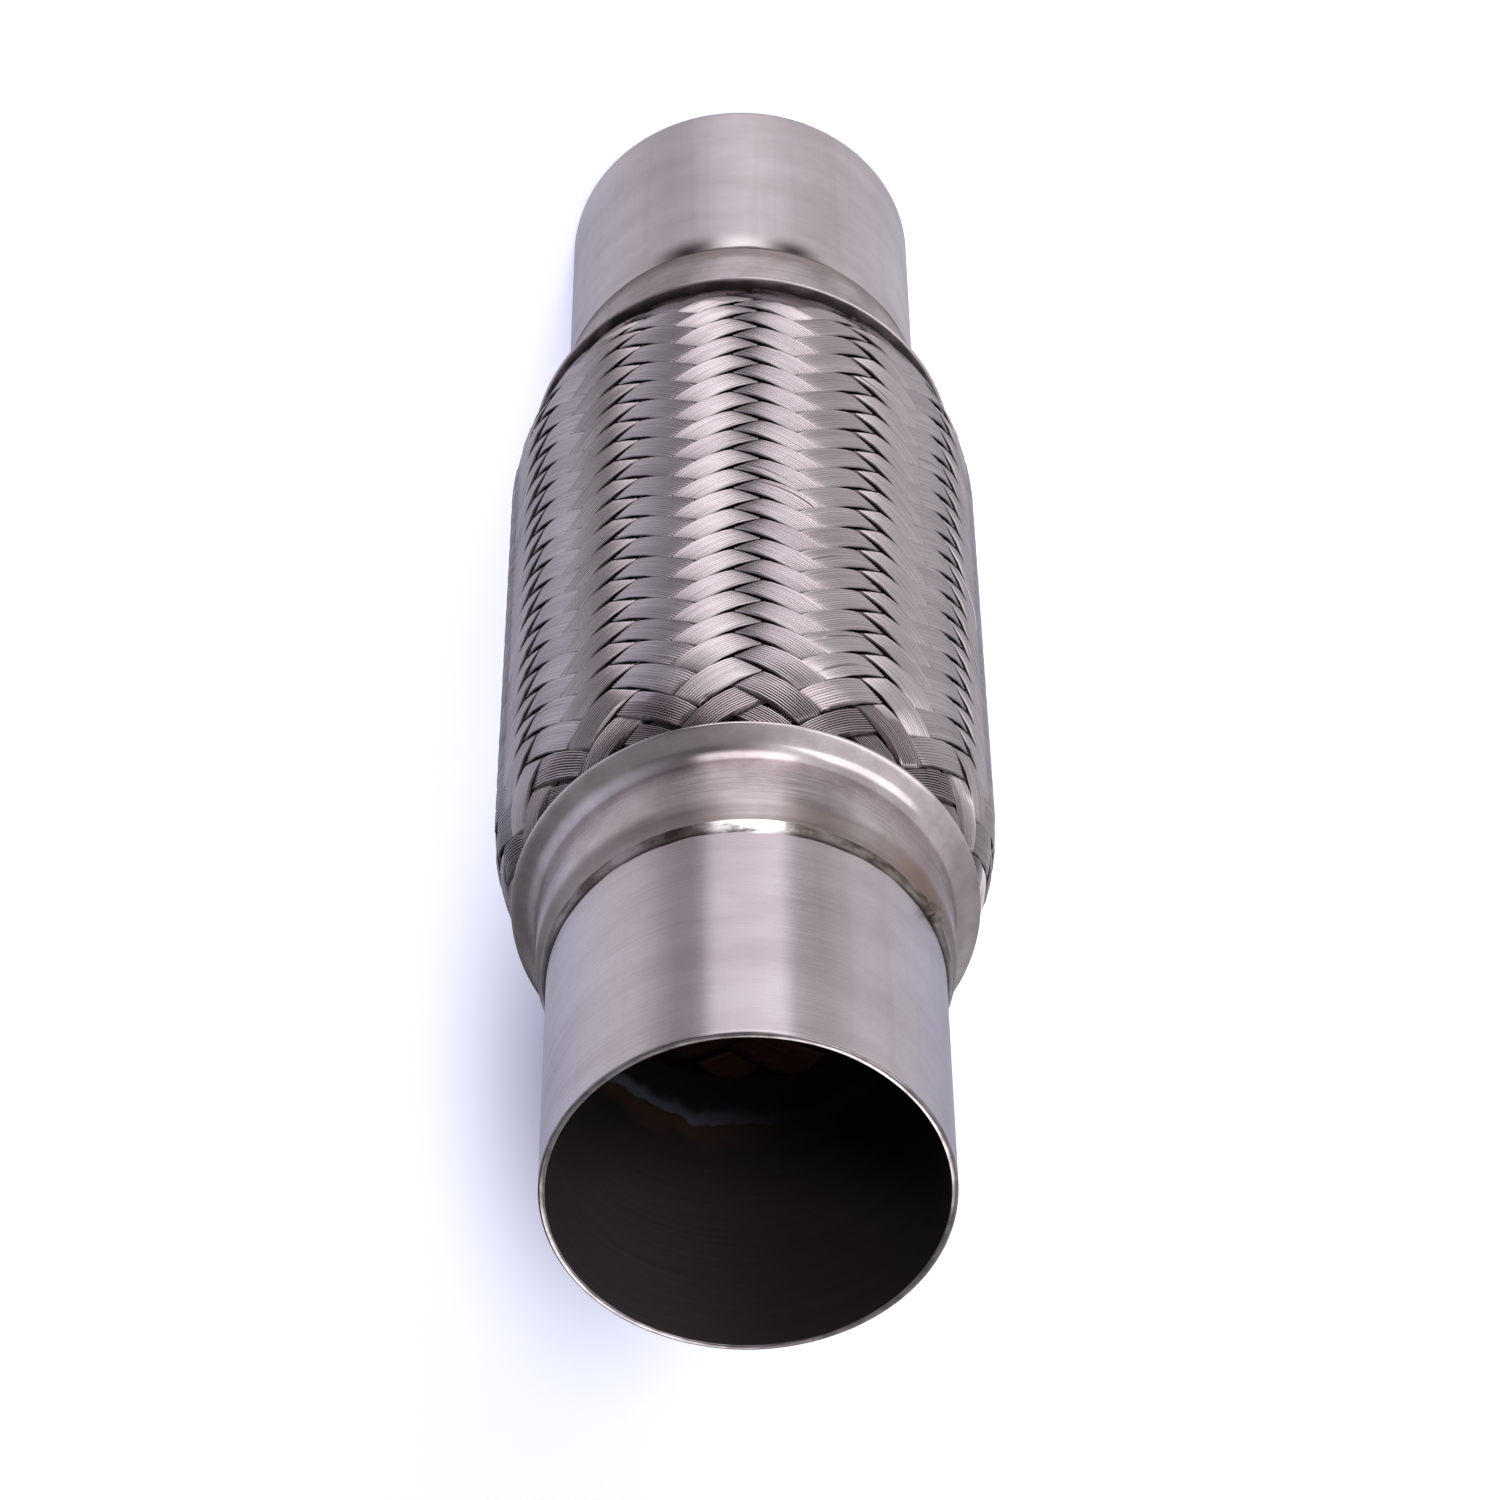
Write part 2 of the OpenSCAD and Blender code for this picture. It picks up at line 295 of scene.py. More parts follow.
# %% Filed rim
def filed_edge():
    made, tree = new_material("stainless_rim_filed")
    place_at = add(tree, "TexCoord").outputs["Object"]
    marks_at = add(tree, "Mapping", {"Scale": per_mm(2.5, 2.5, 0.4)}, {"Vector": place_at})
    marks = add(tree, "TexNoise", {"Scale": 1.0, "Detail": 3.0}, {"Vector": marks_at.outputs["Vector"]})
    colour = add(tree, "ValToRGB", None, {"Fac": marks.outputs["Fac"]})
    colour.color_ramp.elements[0].position = 0.35
    colour.color_ramp.elements[0].color = linear("#7d7578")
    colour.color_ramp.elements[1].position = 0.6
    colour.color_ramp.elements[1].color = linear("#a39a9d")
    relief = add(tree, "Bump", {"Strength": 0.05, "Distance": 0.00002}, {"Height": marks.outputs["Fac"]})
    steel = add(tree, "BsdfPrincipled", {"Metallic": 1.0, "Roughness": 0.16},
                {"Base Color": colour.outputs["Color"], "Normal": relief.outputs["Normal"]})
    add(tree, "OutputMaterial", None, {"Surface": steel.outputs["BSDF"]})
    return made


RIM_STEEL = filed_edge()
print("material", RIM_STEEL.name)

# %% [markdown]
# ## Pressed cap
# Each cap is pressed from stainless sheet. The tool polishes the lip, and the neck keeps faint
# marks of the sanding that cleaned up the weld, so its gloss is softer and a little uneven. The
# strokes are drawn 0.45 mm apart, coarser than real, to show. The swage behind the weld is drawn
# darker and duller. On the upper cap heat left three brown stains, with a painted highlight on
# bare metal between two of them, and the lower cap is duller.

# %% Pressed cap steel
CAP_STAINS_AND_HIGHLIGHT = [
    ((-25.5, -16.5, 204.0), "#8a6f64", 13, 0.75),
    ((-10.5, -29.4, 203.8), "#655752", 8, 0.6),
    ((8.5, -30.0, 204.5), "#655752", 6, 0.35),
    # A painted highlight on the bare metal in front.
    ((0.0, -31.3, 203.2), "#fbf3f5", 8, 0.18),
]


def pressed_cap():
    made, tree = new_material("stainless_cap_pressed")
    place_at = add(tree, "TexCoord").outputs["Object"]
    depth = depth_from_mouth(tree, place_at)
    sand_at = add(tree, "Mapping", {"Scale": per_mm(11, 11, 0.45)}, {"Vector": place_at})
    sand = add(tree, "TexNoise", {"Scale": 1.0, "Detail": 4.0, "Roughness": 0.65},
               {"Vector": sand_at.outputs["Vector"]})
    cloud_at = add(tree, "Mapping", {"Scale": per_mm(6, 6, 6)}, {"Vector": place_at})
    cloud = add(tree, "TexNoise", {"Scale": 1.0, "Detail": 6.0, "Roughness": 0.6},
                {"Vector": cloud_at.outputs["Vector"]})
    colour = add(tree, "ValToRGB", None, {"Fac": cloud.outputs["Fac"]})
    colour.color_ramp.elements[0].position = 0.3
    colour.color_ramp.elements[0].color = linear("#b3a7a9")
    colour.color_ramp.elements[1].position = 0.65
    colour.color_ramp.elements[1].color = linear("#cfc5c9")
    sanded = band(tree, depth, 46, 47, 58, 61)
    sand_tone = add(tree, "MapRange", {"From Min": 0.36, "From Max": 0.6, "To Min": 0.8},
                    {"Value": sand.outputs["Fac"]})
    strokes = add(tree, "Mix", {2: 1.0}, {0: sanded, 3: sand_tone.outputs["Result"]})
    toned = add(tree, "Mix", {0: 1.0}, {6: colour.outputs["Color"], 7: strokes.outputs[0]},
                data_type="RGBA", blend_type="MULTIPLY")
    # The swage is drawn darker and duller.
    swage = band(tree, depth, 46.5, 48, 50, 53)
    darkening = add(tree, "Math", {1: 0.5}, {0: swage}, operation="MULTIPLY")
    toned = add(tree, "Mix", {7: linear("#857870")}, {0: darkening.outputs[0], 6: toned.outputs[2]},
                data_type="RGBA")
    for spot, tint, reach, strength in CAP_STAINS_AND_HIGHLIGHT:
        mark = add(tree, "Math", {1: strength}, {0: near_point(tree, place_at, spot, reach)},
                   operation="MULTIPLY")
        toned = add(tree, "Mix", {7: linear(tint)}, {0: mark.outputs[0], 6: toned.outputs[2]},
                    data_type="RGBA")
    coarse = add(tree, "MapRange", {"From Min": 0.3, "From Max": 0.7, "To Min": 0.22, "To Max": 0.38},
                 {"Value": sand.outputs["Fac"]})
    fine = add(tree, "Mix", {2: 0.21}, {0: sanded, 3: coarse.outputs["Result"]})
    axes = add(tree, "SeparateXYZ", None, {"Vector": place_at})
    dull = add(tree, "MapRange", {"From Min": 0.18, "From Max": 0.07, "To Max": 0.2},
               {"Value": axes.outputs["Z"]})
    worn = add(tree, "Math", {1: 0.2}, {0: swage, 2: dull.outputs["Result"]}, operation="MULTIPLY_ADD")
    gloss = add(tree, "Math", None, {0: fine.outputs[0], 1: worn.outputs[0]}, operation="ADD")
    grain = add(tree, "Math", {1: 0.5}, {0: sand.outputs["Fac"], 2: cloud.outputs["Fac"]},
                operation="MULTIPLY_ADD")
    relief = add(tree, "Bump", {"Strength": 0.3, "Distance": 0.00007}, {"Height": grain.outputs[0]})
    around = add(tree, "Tangent", direction_type="RADIAL", axis="Z")
    steel = add(tree, "BsdfPrincipled",
                {"Metallic": 1.0, "Anisotropic": 0.5, "Anisotropic Rotation": 0.25},
                {"Base Color": toned.outputs[2], "Roughness": gloss.outputs[0],
                 "Normal": relief.outputs["Normal"], "Tangent": around.outputs["Tangent"]})
    add(tree, "OutputMaterial", None, {"Surface": steel.outputs["BSDF"]})
    return made


CAP_STEEL = pressed_cap()
print("material", CAP_STEEL.name)

# %% [markdown]
# ## Ground weld
# The bead that joins cap and tube was laid by hand and sanded. It is brown and dull in patches,
# bright in front, where a painted highlight lies on the sanded metal, and keeps a thin line of
# soot in its toe.

# %% Ground weld
# Centre of the painted highlight on the sanded metal in front.
SANDED_AND_HIGHLIGHT_AT = (0.0, -30.0, 207.6)


def ground_weld():
    made, tree = new_material("weld_bead_ground")
    place_at = add(tree, "TexCoord").outputs["Object"]
    depth = depth_from_mouth(tree, place_at)
    soot_at = add(tree, "Mapping", {"Scale": per_mm(7, 7, 2.5)}, {"Vector": place_at})
    soot = add(tree, "TexNoise", {"Scale": 1.0, "Detail": 5.0, "Roughness": 0.6},
               {"Vector": soot_at.outputs["Vector"]})
    colour = add(tree, "ValToRGB", None, {"Fac": soot.outputs["Fac"]})
    colour.color_ramp.elements[0].position = 0.4
    colour.color_ramp.elements[0].color = linear("#5f534d")
    colour.color_ramp.elements[1].position = 0.62
    colour.color_ramp.elements[1].color = linear("#a69a9b")
    # Painted highlight in front, on the sanded metal, broken up by the soot noise.
    sanded = near_point(tree, place_at, SANDED_AND_HIGHLIGHT_AT, 9)
    broken = add(tree, "MapRange", {"From Min": 0.32, "From Max": 0.5}, {"Value": soot.outputs["Fac"]})
    patch = add(tree, "Math", None, {0: sanded, 1: broken.outputs["Result"]}, operation="MULTIPLY")
    bare = add(tree, "Mix", {7: linear("#ffffff")}, {0: patch.outputs[0], 6: colour.outputs["Color"]},
               data_type="RGBA")
    toe = add(tree, "MapRange", {"From Min": 0.0464, "From Max": 0.0456, "To Max": 0.9},
              {"Value": depth}, interpolation_type="SMOOTHSTEP")
    unsanded = add(tree, "Math", {0: 1.0}, {1: patch.outputs[0]}, operation="SUBTRACT")
    line = add(tree, "Math", None, {0: toe.outputs["Result"], 1: unsanded.outputs[0]}, operation="MULTIPLY")
    lined = add(tree, "Mix", {7: linear("#2f2826")}, {0: line.outputs[0], 6: bare.outputs[2]},
                data_type="RGBA")
    relief = add(tree, "Bump", {"Strength": 0.25, "Distance": 0.0001}, {"Height": soot.outputs["Fac"]})
    steel = add(tree, "BsdfPrincipled", {"Metallic": 1.0, "Roughness": 0.22},
                {"Base Color": lined.outputs[2], "Normal": relief.outputs["Normal"]})
    add(tree, "OutputMaterial", None, {"Surface": steel.outputs["BSDF"]})
    return made


WELD_STEEL = ground_weld()
print("material", WELD_STEEL.name)

# %% [markdown]
# ## Drawn wire
# The braid is stainless wire, drawn bright through a die. About ten wires lie side by side in
# each flat strand. Along a wire the gloss is clear, and across it the round wires spread the
# light: the mesh does that for the large curve, and anisotropic gloss, turned across the wires,
# for the rest. Faint streaks along the wires and small differences between strands keep the
# weave from looking printed. Near the welded caps the heat browned the wires. Painted shade
# darkens each strand along its edges and where it passes under another. The UV map gives both,
# because the weave counts the length along a strand so that the strand's height is a sine of it.

# %% Drawn wire
UV_ROW = 37.0
BRAID_UNIT = 5.74
BRAID_WIDTH = 4.76
LINER_UNIT = 7.4
# Colour of the painted shade under and between strands.
GAP_SHADE = "#2a2423"


def drawn_wire(name, dark, bright, low, high, burnt, unit_length, width):
    made, tree = new_material(name)
    along_at = add(tree, "TexCoord").outputs["UV"]
    streak_at = add(tree, "Mapping", {"Scale": per_mm(26, 0.26, 1)}, {"Vector": along_at})
    streak = add(tree, "TexNoise", {"Scale": 1.0, "Detail": 3.0, "Roughness": 0.6},
                 {"Vector": streak_at.outputs["Vector"]})
    strand_at = add(tree, "Mapping", {"Scale": per_mm(60, 9, 1)}, {"Vector": along_at})
    strand = add(tree, "TexNoise", {"Scale": 1.0, "Detail": 1.0}, {"Vector": strand_at.outputs["Vector"]})
    shade = add(tree, "MapRange", {"From Min": 0.3, "From Max": 0.7, "To Min": 0.27, "To Max": 0.41},
                {"Value": strand.outputs["Fac"]})
    mixed = add(tree, "Math", {1: 0.55}, {0: streak.outputs["Fac"], 2: shade.outputs["Result"]},
                operation="MULTIPLY_ADD")
    colour = add(tree, "ValToRGB", None, {"Fac": mixed.outputs[0]})
    colour.color_ramp.elements[0].position = 0.45
    colour.color_ramp.elements[0].color = linear(dark)
    colour.color_ramp.elements[1].position = 0.8
    colour.color_ramp.elements[1].color = linear(bright)
    gloss = add(tree, "MapRange", {"To Min": low, "To Max": high}, {"Value": streak.outputs["Fac"]})
    depth = depth_from_mouth(tree, add(tree, "TexCoord").outputs["Object"])
    heat = add(tree, "MapRange", {"From Min": 0.078, "From Max": 0.066, "To Max": 0.25},
               {"Value": depth}, interpolation_type="SMOOTHSTEP")
    browned = add(tree, "Mix", {7: linear(burnt)}, {0: heat.outputs["Result"], 6: colour.outputs["Color"]},
                  data_type="RGBA")
    at_wire = add(tree, "SeparateXYZ", None, {"Vector": along_at})
    phase = add(tree, "Math", {1: math.pi / 2 / (unit_length * MM)}, {0: at_wire.outputs["X"]},
                operation="MULTIPLY")
    lift = add(tree, "Math", None, {0: phase.outputs[0]}, operation="SINE")
    # Painted shade where the strand passes under another strand.
    under = add(tree, "MapRange", {"From Min": 0.12, "From Max": -0.08, "To Max": 0.8},
                {"Value": lift.outputs[0]}, interpolation_type="SMOOTHSTEP")
    darkening = add(tree, "Mix", {7: linear(GAP_SHADE)}, {0: under.outputs["Result"], 6: browned.outputs[2]},
                data_type="RGBA")
    # Painted shade: a dark line along each strand's edges.
    in_row = add(tree, "Math", {1: UV_ROW / 2 * MM, 2: -UV_ROW / 2 * MM}, {0: at_wire.outputs["Y"]},
                 operation="WRAP")
    off_centre = add(tree, "Math", None, {0: in_row.outputs[0]}, operation="ABSOLUTE")
    edge_shade = add(tree, "MapRange", {"From Min": 0.437 * width * MM, "From Max": 0.466 * width * MM,
                                     "To Max": 0.7}, {"Value": off_centre.outputs[0]})
    with_edge_shade = add(tree, "Mix", {7: linear(GAP_SHADE)}, {0: edge_shade.outputs["Result"], 6: darkening.outputs[2]},
                data_type="RGBA")
    along_wire = add(tree, "Tangent", direction_type="UV_MAP", uv_map="wire")
    steel = add(tree, "BsdfPrincipled",
                {"Metallic": 1.0, "Anisotropic": 0.9, "Anisotropic Rotation": 0.25},
                {"Base Color": with_edge_shade.outputs[2], "Roughness": gloss.outputs["Result"],
                 "Tangent": along_wire.outputs["Tangent"]})
    add(tree, "OutputMaterial", None, {"Surface": steel.outputs["BSDF"]})
    return made


BRAID_WIRE = drawn_wire("stainless_wire_drawn", "#a0949a", "#d4cbce", 0.21, 0.27, "#7d6b62",
                        BRAID_UNIT, BRAID_WIDTH)
LINER_WIRE = drawn_wire("liner_wire_browned", "#7a5541", "#a5765a", 0.35, 0.5, "#a5765a",
                        LINER_UNIT, LINER_UNIT)
print("materials", BRAID_WIRE.name, LINER_WIRE.name)

# %% [markdown]
# ## Bellows sheet
# Thin stainless sheet, rolled bright and formed into corrugations. It only shows as a dark
# glint through the gaps of the braid.


# %% Bellows sheet
def bellows_sheet():
    made, tree = new_material("stainless_sheet_formed")
    place_at = add(tree, "TexCoord").outputs["Object"]
    cloud_at = add(tree, "Mapping", {"Scale": per_mm(6, 6, 6)}, {"Vector": place_at})
    cloud = add(tree, "TexNoise", {"Scale": 1.0, "Detail": 3.0}, {"Vector": cloud_at.outputs["Vector"]})
    colour = add(tree, "ValToRGB", None, {"Fac": cloud.outputs["Fac"]})
    colour.color_ramp.elements[0].color = linear("#55504e")
    colour.color_ramp.elements[1].color = linear("#7d7775")
    steel = add(tree, "BsdfPrincipled", {"Metallic": 1.0, "Roughness": 0.4},
                {"Base Color": colour.outputs["Color"]})
    add(tree, "OutputMaterial", None, {"Surface": steel.outputs["BSDF"]})
    return made


BELLOWS_STEEL = bellows_sheet()
for hidden_node in ("bellows", "lower_liner_ring", "upper_liner_ring"):
    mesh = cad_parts[hidden_node].data
    mesh.materials.clear()
    mesh.materials.append(BELLOWS_STEEL)
print("material", BELLOWS_STEEL.name, "on the solids that stay")

# %% [markdown]
# ## Turning a ring
# Tubes, caps and welds are round, so one function turns an outline of radius and height around
# the pipe's axis. A modifier could do it too; writing the corners keeps the seams closed and
# lets each band of faces take its own material.


# %% Mesh helpers
def new_piece(name, corners, faces, materials, stands_for, bands=None, uv=None, sharp=38):
    mesh = bpy.data.meshes.new(name)
    mesh.from_pydata((corners * MM).tolist(), [], faces)
    for material in materials:
        mesh.materials.append(material)
    if bands is not None:
        mesh.polygons.foreach_set("material_index", bands)
    if uv is not None:
        layer = mesh.uv_layers.new(name="wire")
        at = np.empty(len(mesh.loops), dtype=np.int32)
        mesh.loops.foreach_get("vertex_index", at)
        layer.data.foreach_set("uv", (uv * MM)[at].ravel())
    mesh.shade_smooth()
    mesh.set_sharp_from_angle(angle=math.radians(sharp))
    made = bpy.data.objects.new(name, mesh)
    bpy.context.scene.collection.objects.link(made)
    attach(made, "root")
    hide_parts(stands_for)


def turned(outline, sides, wobble=None):
    outline = np.asarray(outline, dtype=float)
    count = len(outline)
    angle = np.arange(sides) * 2 * math.pi / sides
    r = np.repeat(outline[None, :, 0], sides, axis=0)
    z = np.repeat(outline[None, :, 1], sides, axis=0)
    if wobble is not None:
        r, z = wobble(angle[:, None], r, z)
    corners = np.stack([r * np.cos(angle)[:, None], r * np.sin(angle)[:, None], z], axis=-1)
    k, m = np.meshgrid(np.arange(sides), np.arange(count), indexing="ij")
    k2 = (k + 1) % sides
    m2 = (m + 1) % count
    faces = np.stack([k * count + m, k2 * count + m, k2 * count + m2, k * count + m2], axis=-1)
    return corners.reshape(-1, 3), faces.reshape(-1, 4)


def at_upper_end(corners, faces):
    turned_over = corners.copy()
    turned_over[:, 2] = LENGTH - turned_over[:, 2]
    return turned_over, faces[:, ::-1]


def arc(centre, radius, start, end, steps):
    angles = np.linspace(math.radians(start), math.radians(end), steps)
    return [(centre[0] + radius * math.cos(a), centre[1] + radius * math.sin(a)) for a in angles]


print("a square turned in 8 steps has", len(turned([(1, 0), (2, 0), (2, 1), (1, 1)], 8)[1]), "faces")

# %% [markdown]
# ## Tubes
# A plain tube, cut square and deburred with a file, so its rim is a thin edge that leans a little
# one way and isn't quite even. Bore and rim are bands of faces with materials of their own.

# %% Tubes
def filed_rim(angle, r, z):
    near_rim = np.clip(1 - z, 0, 1)
    uneven = 0.015 * np.sin(3 * angle + 1) + 0.01 * np.sin(11 * angle) + 0.008 * np.sin(37 * angle + 2)
    slope = 0.12 * np.cos(angle - math.radians(50)) + 0.03 * np.sin(7 * angle)
    return r, z + near_rim * (0.1 + uneven + slope * (r - (TUBE_R + BORE_R) / 2))


tube_outline = (
    arc((BORE_R + 0.15, 0.15), 0.15, 180, 270, 4)
    + arc((TUBE_R - 0.3, 0.3), 0.3, 270, 360, 5)
    + [(TUBE_R, 1.0), (TUBE_R, 20.0), (TUBE_R, 40.0), (TUBE_R, TUBE_END), (BORE_R, TUBE_END)]
    + [(BORE_R, 40.0), (BORE_R, 20.0), (BORE_R, 1.0)]
)
tube_corners, tube_faces = turned(tube_outline, SIDES, filed_rim)
rim_faces = [2] * 8
outer_faces = [0] * 5
bore_faces = [1] * (len(tube_outline) - len(rim_faces) - len(outer_faces))
tube_bands = np.tile(np.array(rim_faces + outer_faces + bore_faces, dtype=np.int32), SIDES)
new_piece("lower_tube_brushed", tube_corners, tube_faces.tolist(),
          [DULL_TUBE, BORE_BROWN, RIM_STEEL], "lower_tube", tube_bands)
upper_corners, upper_faces = at_upper_end(tube_corners, tube_faces)
new_piece("upper_tube_brushed", upper_corners, upper_faces.tolist(),
          [TUBE_STEEL, BORE_BROWN, RIM_STEEL], "upper_tube", tube_bands)
print("tubes:", len(tube_faces), "faces each")

# %% [markdown]
# ## Caps
# One sheet: a short land on the tube, a swage up to the neck, the neck, a bend and the flared
# lip with a rounded edge. The outline is the sheet's middle line, moved half a sheet each way.

# %% Caps
def both_sides(path, thickness):
    path = np.asarray(path, dtype=float)
    run = np.gradient(path, axis=0)
    run /= np.linalg.norm(run, axis=1)[:, None]
    left = np.stack([-run[:, 1], run[:, 0]], axis=1)
    return path + left * thickness / 2, path - left * thickness / 2, run[-1], left[-1]


cap_path = [(LAND_R, WELD_Z), (LAND_R, WELD_Z + 1)]
for t in np.linspace(0.1, 1, 10):
    cap_path.append((LAND_R + (NECK_R - LAND_R) * (1 - math.cos(math.pi * t)) / 2, WELD_Z + 1 + 3 * t))
cap_path += [(NECK_R, NECK_Z + 3), (NECK_R, NECK_Z + 6)]
for t in np.linspace(0, 1, 12):
    cap_path.append((NECK_R + LIP_BEND * (1 - math.cos(LIP_TURN * t)),
                     BEND_Z + LIP_BEND * math.sin(LIP_TURN * t)))
lip_r, lip_z = cap_path[-1]
for t in (0.33, 0.67, 1.0):
    cap_path.append((lip_r + (LIP_END_R - lip_r) * t,
                     lip_z + (LIP_END_R - lip_r) * t * math.tan(LIP_LEAN)))
inner_side, outer_side, run_out, left_out = both_sides(cap_path, SHEET)
edge = [np.array(cap_path[-1]) + SHEET / 2 * (run_out * math.cos(a) + left_out * math.sin(a))
        for a in np.radians([60, 36, 12, -12, -36, -60])]
cap_outline = np.concatenate([inner_side, edge, outer_side[::-1]])
cap_corners, cap_faces = turned(cap_outline, SIDES)
new_piece("lower_cap_pressed", cap_corners, cap_faces[:, ::-1].tolist(), [CAP_STEEL],
          "lower_cap")
upper_corners, upper_faces = at_upper_end(cap_corners, cap_faces[:, ::-1])
new_piece("upper_cap_pressed", upper_corners, upper_faces.tolist(), [CAP_STEEL],
          "upper_cap")
print("caps:", len(cap_faces), "faces each")

# %% [markdown]
# ## Welds
# A hand-laid bead that was sanded is a smooth fillet whose toe wanders on the tube. It keeps one
# lump, where the weld was stopped and started again. Sums of a few sine waves give both.

# %% Welds
def laid_by_hand(restart):
    def shaped(angle, r, z):
        toe = np.clip((WELD_Z - z) / WELD_RUN, 0, 1)
        wander = 0.5 * np.sin(5 * angle + 0.4) + 0.3 * np.sin(13 * angle) + 0.2 * np.sin(29 * angle + 1)
        slow = 0.6 * np.sin(9 * angle + 2) + 0.4 * np.sin(23 * angle)
        off = (angle - restart + math.pi) % (2 * math.pi) - math.pi
        blob = np.exp(-(off / 0.09) ** 2)
        drops = blob * (1.0 + 0.5 * np.sin(61 * angle) + 0.4 * np.sin(143 * angle + 2 * z))
        height = np.clip(r - TUBE_R, 0, None)
        return r - height * (0.06 + 0.04 * slow - 0.9 * drops), z + toe * (0.3 + 0.3 * wander)
    return shaped


weld_outline = []
for s in np.linspace(0, 1, 10):
    crown = 0.08 * math.sin(math.pi * s)
    weld_outline.append((TUBE_R + WELD_RISE * s + crown, WELD_Z - WELD_RUN * (1 - s)))
weld_outline.append((TUBE_R, WELD_Z))
weld_corners, weld_faces = turned(weld_outline, 2 * SIDES, laid_by_hand(math.radians(40)))
new_piece("lower_weld_bead", weld_corners, weld_faces.tolist(), [WELD_STEEL],
          "lower_weld", sharp=60)
weld_corners, weld_faces = turned(weld_outline, 2 * SIDES, laid_by_hand(math.radians(207)))
upper_corners, upper_faces = at_upper_end(weld_corners, weld_faces)
new_piece("upper_weld_bead", upper_corners, upper_faces.tolist(), [WELD_STEEL],
          "upper_weld", sharp=60)
print("welds:", len(weld_faces), "faces each")

# %% [markdown]
# ## Weaving flat strands
# Strands run both ways around the pipe. Number the right-handed ones i and the left-handed ones
# j: then i + j counts around the pipe and j - i counts along it, so every crossing has whole
# numbers. A strand passes over two and under two, so its height follows one sine wave in i + j,
# and the strands of the other hand follow the opposite wave. A float bows like an arch, and at
# each end it drops under the next strand at once, so a short step is added to the wave and its
# points stand closer together there. A strand's cross section is a row of small arches, one for
# each wire, closed by a flat underside. Near the lips strands grow narrow and their wires come
# loose, and here and there two wires part.


# %% Weave helper
STEP = 0.15
STEP_LENGTH = 0.06
OPENS_OVER = 12
LOOSE_FROM = 4
LOOSE_TO = 13
SPLIT_CHANCE = 0.4
SPLIT_DEPTH = 0.35


def smooth(low, high, x):
    t = np.clip((x - low) / (high - low), 0, 1)
    return t * t * (3 - 2 * t)


def stations(reach):
    in_one_float = np.array([0, 0.03, 0.08, 0.3, 0.75, 1.25, 1.7, 1.92, 1.97])
    floats = np.arange(-math.ceil(reach / 2) - 1, math.ceil(reach / 2) + 2)
    places = (2 * floats[:, None] + in_one_float - 0.5).ravel()
    places = places[np.abs(places) < reach - 0.02]
    return np.concatenate([[-reach], places, [reach]])


